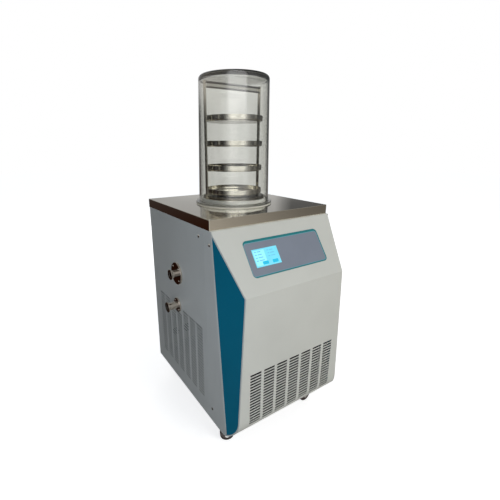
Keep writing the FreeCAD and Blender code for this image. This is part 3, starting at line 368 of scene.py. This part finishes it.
finish_of = {
    "cabinet_paint": powder_coat("cabinet_paint", linear(197, 198, 192), 0.42),
    "teal_paint": powder_coat("teal_paint", linear(0, 105, 131), 0.36, 0.2),
    "black_paint": powder_coat("black_enamel", linear(24, 24, 26), 0.3),
    "brushed_stainless": brushed_steel("well_steel", linear(190, 186, 176), 0.22, "Z"),
    "polished_stainless": polished_steel("bright_steel", linear(205, 202, 193), 0.05),
    "galvanised": zinc_plate("zinc", linear(176, 178, 180), 0.32),
    "zinc_plate": zinc_plate("caster_zinc", linear(190, 190, 188), 0.25),
    # Painted shade: the fins' dark colour stands in for the shade inside the closed cabinet behind
    # the slots.
    "fins": finned_aluminium("fins", linear(48, 46, 45)),
    "foam": cast_foam("foam", linear(214, 196, 150)),
    "clear_acrylic": clear_acrylic(),
    "seal_rubber": seal_silicone(),
    "caster_rubber": moulded_plastic("caster_rubber", linear(38, 30, 28), 0.55),
    "white_plastic": moulded_plastic("white_plastic", linear(246, 248, 246), 0.22, 0.03),
    "black_plastic": moulded_plastic("black_plastic", linear(26, 26, 27), 0.4),
    "overlay_foil": printed_foil("overlay_foil", linear(120, 127, 140)),
    "screen_glass": lit_screen("screen_glow", linear(118, 222, 246), 0.86),
}

# Painted shade: the ports' polished steel is a darker copy of the bright polished steel.
port_steel = polished_steel("port_steel", linear(125, 121, 116), 0.05)
screw_steel = polished_steel("screw_steel", linear(170, 168, 162), 0.18)

# Pieces that don't look like the rest of their material.
special_finish = {
    "top_plate": brushed_steel("plate_steel", linear(176, 171, 158), 0.04, "X", 0.12),
    # Painted shade: the rack base is a darkened copy of the polished steel, standing in for the
    # shade under the lowest tray.
    "rack_base": polished_steel("base_steel", linear(98, 95, 88), 0.16),
    "rack_crossbar": channel_steel_of("rack_crossbar", "channel_steel",
                                      linear(214, 212, 206), fold_shade_width),
    "vacuum_port": port_steel, "drain_port": port_steel,
    "port_screws": screw_steel, "panel_screws": screw_steel,
}

for subpart in frame["record"]["subparts"]:
    node = subpart["node"]
    chosen = special_finish.get(node, finish_of[subpart["material_slot"]])
    for material_slot in nodes[node].material_slots:
        material_slot.material = chosen


# ---- Print on the panel -------------------------------------------------------

def piece_from(name, vertices, faces, material, body):
    mesh = bpy.data.meshes.new(name)
    mesh.from_pydata(vertices, [], faces)
    mesh.validate()
    mesh.update()
    mesh.materials.append(material)
    made = bpy.data.objects.new(name, mesh)
    bpy.context.scene.collection.objects.link(made)
    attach(made, body)


class Slope:
    """The flat outer face of a thin plate on the slope, as a drawing plane."""

    def __init__(self, node):
        least_lean = 0.1      # of the outer face's normal, up and to the front
        mesh = nodes[node].data
        face = max(mesh.polygons, key=lambda f: (f.area * (f.normal.z > least_lean)
                                                 * (f.normal.y < -least_lean)))
        self.right = Vector((1, 0, 0))
        self.out = face.normal.copy()
        self.up = self.out.cross(self.right).normalized()
        self.level = max(v.co.dot(self.out) for v in mesh.vertices)
        spans = [(v.co.dot(self.right), v.co.dot(self.up)) for v in mesh.vertices]
        self.left = min(a for a, b in spans)
        self.low = min(b for a, b in spans)
        self.width = max(a for a, b in spans) - self.left
        self.height = max(b for a, b in spans) - self.low

    def point(self, across, above, lift):
        """Across from the left edge and above the lower edge, lifted off the face."""
        return (self.right * (self.left + across) + self.up * (self.low + above)
                + self.out * (self.level + lift))


def rounded_outline(x0, x1, y0, y1, radius, steps=8):
    """Points round a rounded rectangle, anticlockwise."""
    points = []
    corners = ((x1 - radius, y1 - radius, 0), (x0 + radius, y1 - radius, 90),
               (x0 + radius, y0 + radius, 180), (x1 - radius, y0 + radius, 270))
    for x, y, start in corners:
        for step in range(steps + 1):
            angle = math.radians(start + 90 * step / steps)
            points.append((x + radius * math.cos(angle), y + radius * math.sin(angle)))
    return points


def printed_patch(name, plane, outline, lift, thickness, material):
    """Closed thin patch with the given outline on the plane."""
    count = len(outline)
    vertices = [plane.point(x, y, lift + thickness) for x, y in outline]
    vertices += [plane.point(x, y, lift) for x, y in outline]
    faces = [list(range(count)), list(range(2 * count - 1, count - 1, -1))]
    for number in range(count):
        following = (number + 1) % count
        faces.append([number, number + count, following + count, following])
    piece_from(name, vertices, faces, material, cabinet)


def printed_ring(name, plane, outer, inner, lift, thickness, material):
    """Closed thin ring between two outlines with as many points each."""
    count = len(outer)
    under = 2 * count
    vertices = []
    for height in (lift + thickness, lift):
        vertices += [plane.point(x, y, height) for x, y in outer]
        vertices += [plane.point(x, y, height) for x, y in inner]
    faces = []
    for number in range(count):
        following = (number + 1) % count
        a, b = number, following
        c, d = number + count, following + count
        faces.append([a, b, d, c])
        faces.append([c + under, d + under, b + under, a + under])
        faces.append([b, a, a + under, b + under])
        faces.append([c, d, d + under, c + under])
    piece_from(name, vertices, faces, material, cabinet)


ink = 0.06 * mm               # how thick a printed field stands


def foil_border():
    """Teal frame of the foil: broad along the top, narrow at the right and below."""
    plane = Slope("control_overlay")
    teal = printed_foil("border_teal", linear(0, 108, 114))
    pale = printed_foil("border_light", linear(92, 160, 176))
    corner = 14.0 * mm
    top, side, left = 8.0 * mm, 3.8 * mm, 0.6 * mm
    line = 1.3 * mm
    w, h = plane.width, plane.height
    outer = rounded_outline(0, w, 0, h, corner)
    middle = rounded_outline(left, w - side, side, h - top, corner - side)
    inner = rounded_outline(left + line, w - side - line, side + line, h - top - line,
                            corner - side - line)
    printed_ring("foil_border", plane, outer, middle, 0.0, ink, teal)
    printed_ring("foil_border_line", plane, middle, inner, 0.0, ink, pale)


def screen_picture():
    """Generic display page: a pale field, two columns of short rows and two buttons."""
    plane = Slope("touch_screen")
    pale = lit_screen("screen_pale", linear(150, 240, 255), 0.9)
    row_glow = lit_screen("screen_ink", linear(104, 196, 232), 0.85)
    key_glow = lit_screen("screen_button", linear(0, 190, 228), 0.9)
    mark_glow = lit_screen("button_ink", linear(50, 172, 214), 0.85)
    w, h = plane.width, plane.height

    field_share = 0.47
    field_left, field_margin, field_corner = 3 * mm, 4 * mm, 1.5 * mm
    field = rounded_outline(field_left, w * field_share, field_margin, h - field_margin,
                            field_corner)
    printed_patch("screen_field_left", plane, field, 0.0, ink, pale)

    column_starts, rows_in = (7 * mm, 56 * mm), (4, 3)
    first_row, row_height, row_pitch, row_corner = 8 * mm, 2.6 * mm, 9.5 * mm, 1.0 * mm
    row_outset = 5 * mm
    for column, start in enumerate(column_starts):
        for row in range(rows_in[column]):
            y1 = h - first_row - row * row_pitch
            bars = ((5 * mm, 8 * mm), (16 * mm, 14 * mm + row * 2 * mm))
            for number, (offset, length) in enumerate(bars):
                x0 = start + offset - row_outset
                bar = rounded_outline(x0, x0 + length, y1 - row_height, y1, row_corner, 3)
                name = f"screen_row_{column + 1}_{row + 1}_{number + 1}"
                printed_patch(name, plane, bar, ink, ink, row_glow)

    key_starts, key_width, key_corner = (27 * mm, 66 * mm), 23 * mm, 3 * mm
    key_low, key_high = 5 * mm, 16 * mm
    mark_left, mark_right, mark_corner = 5 * mm, 18 * mm, 1 * mm
    mark_low, mark_high = 9.2 * mm, 11.8 * mm
    for number, x0 in enumerate(key_starts):
        key = rounded_outline(x0, x0 + key_width, key_low, key_high, key_corner)
        printed_patch(f"screen_key_{number + 1}", plane, key, ink, ink, key_glow)
        mark = rounded_outline(x0 + mark_left, x0 + mark_right, mark_low, mark_high, mark_corner, 3)
        printed_patch(f"screen_key_mark_{number + 1}", plane, mark, 2 * ink, ink, mark_glow)


foil_border()
screen_picture()


# ---- Studio -------------------------------------------------------------------

def camera():
    """Wide lens close to the left front corner, a little above the top plate."""
    pitch, turn = 72.63, -33.32
    data = bpy.data.cameras.new("camera")
    data.sensor_width = 36.0
    data.lens = 23.92
    data.shift_x = 0.0376
    data.shift_y = -0.0005
    data.clip_start = 0.02
    data.clip_end = 60.0
    made = bpy.data.objects.new("camera", data)
    made.location = (-0.7174, -1.0739, 1.0135)
    made.rotation_euler = (math.radians(pitch), 0.0, math.radians(turn))
    bpy.context.scene.collection.objects.link(made)
    bpy.context.scene.camera = made


def area_light(name, place, target, size, power, colour=(1.0, 1.0, 1.0)):
    """Soft box that lights the object and isn't mirrored in it: the world is."""
    data = bpy.data.lights.new(name, "AREA")
    data.shape = "RECTANGLE"
    data.size, data.size_y = size
    data.energy = power
    data.color = colour
    made = bpy.data.objects.new(name, data)
    made.location = place
    made.rotation_euler = (Vector(target) - Vector(place)).to_track_quat("-Z", "Y").to_euler()
    made.visible_glossy = False
    made.visible_transmission = False
    bpy.context.scene.collection.objects.link(made)


# What metal and glass mirror, by bearing in degrees: 0 is straight ahead of the
# machine's front, -90 its left. Each stop is a bearing and a colour.
level_studio = (
    (-180, grey(0.12)), (-120, grey(0.05)), (-100, grey(0.05)), (-95, grey(0.5)),
    (-92, grey(0.5)), (-87, grey(0.05)), (-72, grey(0.06)), (-60, grey(0.6)), (-42, grey(2.2)),
    (-28, grey(2.0)), (-12, grey(1.7)), (2, grey(2.2)), (11, grey(1.6)), (22, grey(0.6)),
    (38, grey(0.25)), (50, grey(0.1)), (62, grey(0.5)), (70, grey(0.12)), (110, grey(0.08)),
    (134, grey(0.2)), (140, grey(0.8)), (154, grey(0.8)), (162, grey(0.15)), (180, grey(0.12)),
)
upper_studio = (
    (-180, grey(0.5)), (-130, grey(1.0, 0.08)), (-76, grey(1.0, 0.08)), (-60, grey(1.2)),
    (-46, grey(4.5)), (2, grey(4.5)), (12, grey(1.2)), (34, grey(1.2)), (60, grey(0.6)),
    (110, grey(0.15)), (137, grey(0.13)), (139, grey(0.54)), (180, grey(0.54)),
)
brown = (0.043, 0.014, 0.007, 1.0)
lower_studio = (
    (-180, brown), (-95, brown), (-74, grey(0.06)), (-60, grey(0.5)), (-44, grey(1.7)),
    (4, grey(1.7)), (14, grey(1.0)), (24, grey(0.68, 0.06)), (30, grey(0.68, 0.06)),
    (38, grey(0.5, 0.07)), (46, grey(0.31, 0.08)), (90, grey(0.2, 0.1)), (150, grey(0.2, 0.1)),
    (180, brown),
)
upper_from, upper_full = 0.09, 0.16       # rise of a ray where the upper studio comes in
lower_from, lower_full = 0.0, -0.24       # and where the lower one does


def straight_view(shading, path):
    """1 for rays that left the camera and met nothing but clear pieces, else 0."""
    clear = shading.calculate("MAXIMUM", path["Is Camera Ray"], path["Is Transmission Ray"])
    bounces = shading.calculate("ADD", path["Glossy Depth"], path["Diffuse Depth"])
    direct = shading.calculate("LESS_THAN", bounces, 0.5)
    return shading.calculate("MULTIPLY", clear, direct)


def studio_ramp(world, bearing, rows):
    stops = [(degrees / 360 + 0.5, colour) for degrees, colour in rows]
    return world.ramp(bearing, *stops)


def world_light():
    """Even cool light all round; the camera sees white, metal mirrors the studio."""
    sky = (0.76, 0.87, 1.0, 1.0)
    sky_strength = 0.25
    world = Shading(bpy.data.worlds.new("studio"))
    bpy.context.scene.world = world.owner
    world.tree.nodes.clear()
    output = world.add("OutputWorld")
    path = world.add("LightPath").outputs
    way = world.add("SeparateXYZ", {"Vector": world.add("TexCoord").outputs["Generated"]}).outputs
    front = world.calculate("MULTIPLY", way["Y"], -1.0)
    angle = world.calculate("ARCTAN2", way["X"], front)
    bearing = world.spread(angle, 0.0, 1.0, -math.pi, math.pi)
    level = studio_ramp(world, bearing, level_studio)
    upper = studio_ramp(world, bearing, upper_studio)
    lower = studio_ramp(world, bearing, lower_studio)
    mirrored = world.mix(world.spread(way["Z"], 0.0, 1.0, upper_from, upper_full), level, upper)
    mirrored = world.mix(world.spread(way["Z"], 0.0, 1.0, lower_from, lower_full), mirrored, lower)
    seen = straight_view(world, path)
    soft = world.add("Background", {"Color": sky, "Strength": sky_strength}).outputs[0]
    studio = world.add("Background", {"Color": mirrored, "Strength": 1.0}).outputs[0]
    backdrop = world.add("Background", {"Color": white, "Strength": 1.0}).outputs[0]
    mirrors = world.calculate("GREATER_THAN", path["Glossy Depth"], 0.5)
    with_metal = world.choose(mirrors, soft, studio)
    world.feed(output.inputs["Surface"], world.choose(seen, with_metal, backdrop))


def floor():
    """Large pale floor that shows white where it is lit and keeps the shadow."""
    half = 14.0
    sink = 0.2 * mm
    near, far = 0.4, 1.6                  # distances between which the glow rises
    near_glow, far_glow = 0.76, 0.9
    finish = Finish("floor")
    finish.tree.nodes.remove(finish.shader)
    seen = straight_view(finish, finish.add("LightPath").outputs)
    away = finish.add("VectorMath", {0: finish.place}, operation="LENGTH").outputs["Value"]
    matt = finish.add("BsdfDiffuse", {"Color": grey(0.50)}).outputs[0]
    strength = finish.spread(away, near_glow, far_glow, near, far)
    glow = finish.add("Emission", {"Color": white, "Strength": strength}).outputs[0]
    both = finish.add("AddShader", {0: matt, 1: glow}).outputs[0]
    finish.feed(finish.output.inputs["Surface"], finish.choose(seen, matt, both))
    mesh = bpy.data.meshes.new("floor")
    edge = [(-half, -half, 0), (half, -half, 0), (half, half, 0), (-half, half, 0)]
    mesh.from_pydata(edge, [], [(0, 1, 2, 3)])
    mesh.materials.append(finish.material)
    made = bpy.data.objects.new("floor", mesh)
    made.location.z = -sink
    made.visible_glossy = False
    made.visible_transmission = False
    bpy.context.scene.collection.objects.link(made)


camera()
world_light()
floor()
area_light("key", place=(0.9, -3.35, 1.9), target=(0.0, -0.2, 0.6), size=(1.6, 1.6),
           power=75.0, colour=(1.0, 0.97, 0.905))
area_light("corner", place=(-0.95, -0.75, 0.62), target=(-0.25, -0.2, 0.5), size=(0.35, 0.5),
           power=2.2, colour=(0.78, 0.86, 1.0))
area_light("back", place=(1.1, 3.1, 1.8), target=(0.1, 0.2, 0.6), size=(1.6, 1.6),
           power=45.0, colour=(1.0, 0.985, 0.96))
area_light("top", place=(0.0, 0.2, 3.2), target=(0.0, 0.0, 0.8), size=(1.8, 1.8), power=6.0)

bpy.context.scene.view_settings.view_transform = "Standard"
